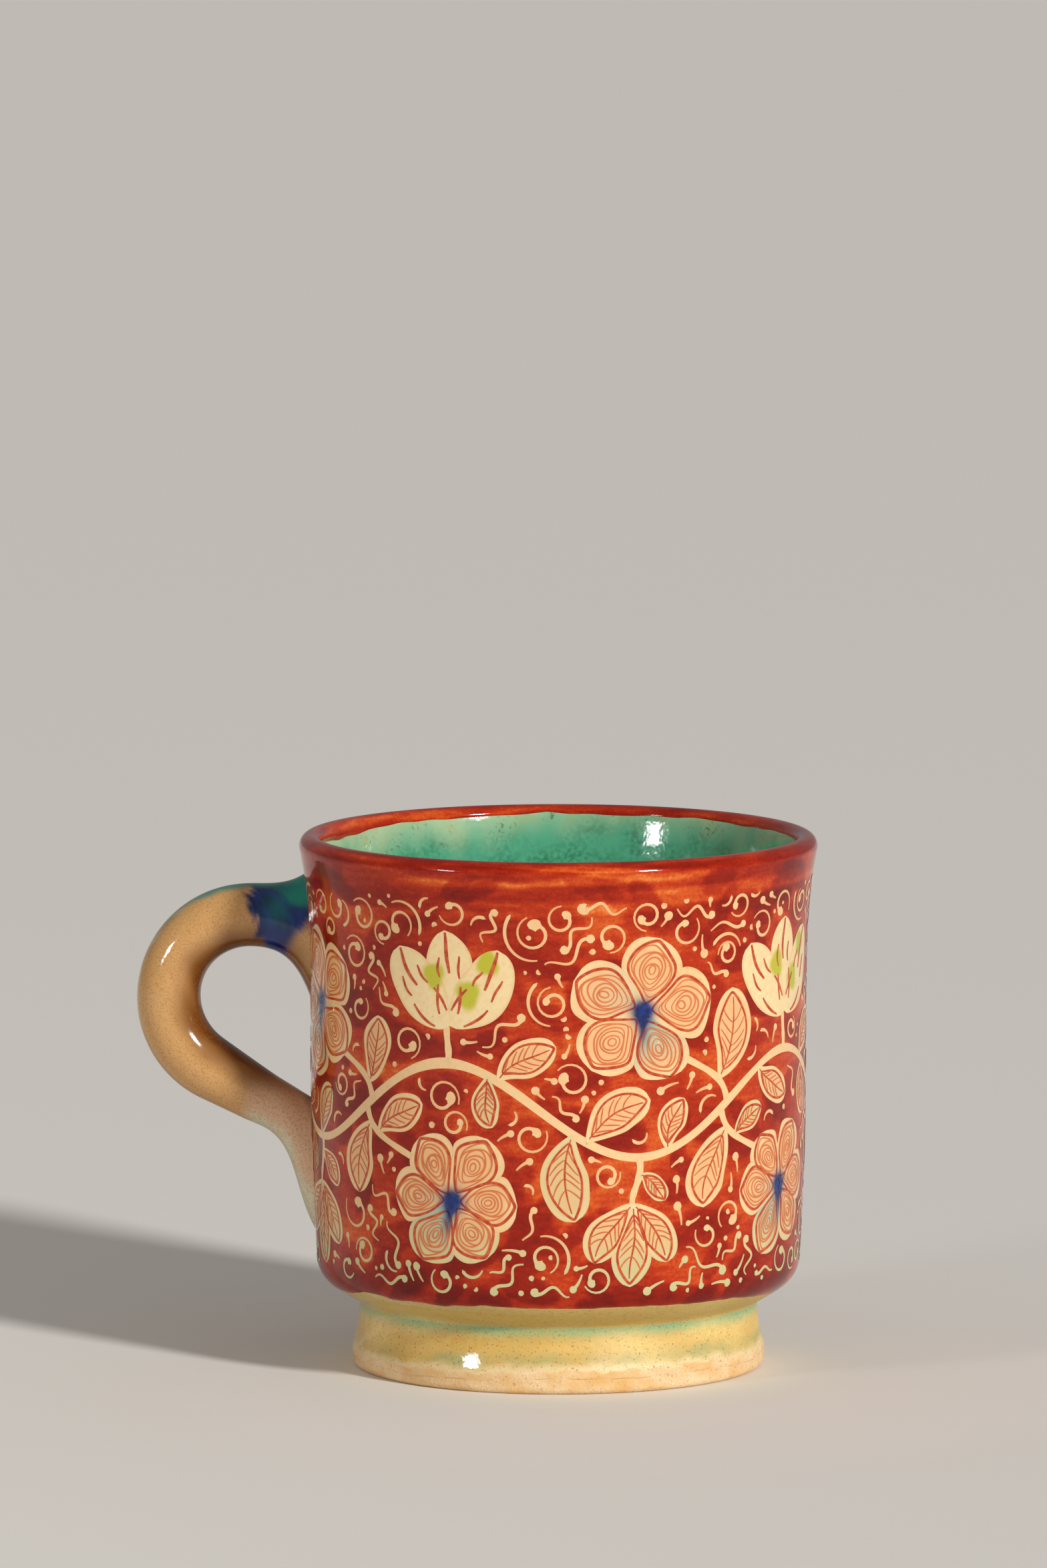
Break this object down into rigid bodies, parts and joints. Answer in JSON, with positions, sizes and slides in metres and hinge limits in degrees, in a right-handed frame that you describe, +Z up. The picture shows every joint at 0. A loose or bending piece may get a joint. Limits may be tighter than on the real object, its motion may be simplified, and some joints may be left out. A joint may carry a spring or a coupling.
{
  "type": "clay mug",
  "caption": "Straight-sided glazed earthenware drinking mug with a flared lip, a raised foot ring and a rolled loop handle at one side.",
  "frame": {"origin": "middle of the foot ring's standing face, on the cup's axis", "axes": "+Z up along the cup's axis, the handle points to -X, Y across the handle"},
  "size_m": [0.1186, 0.09, 0.093],
  "materials": {
    "clay": "bare fired earthenware, matt",
    "luting_slip": "fired joining slip, matt",
    "red_slip": "iron-red slip under clear glaze, glossy",
    "cream_slip": "cream slip brushwork under clear glaze, glossy",
    "green_glaze": "copper-green glaze, glossy",
    "honey_glaze": "honey-coloured clear glaze, glossy"
  },
  "bodies": {
    "root": {"cup_body": "clay", "foot_ring": "clay", "foot_lute": "luting_slip", "handle_roll": "clay", "upper_root": "clay", "lower_tail": "clay", "upper_lute": "luting_slip", "lower_lute": "luting_slip", "inner_glaze": "green_glaze", "outer_slip": "red_slip", "rim_band": "red_slip", "foot_glaze": "honey_glaze", "roll_glaze": "honey_glaze", "root_glaze": "honey_glaze"}
  },
  "joints": []
}
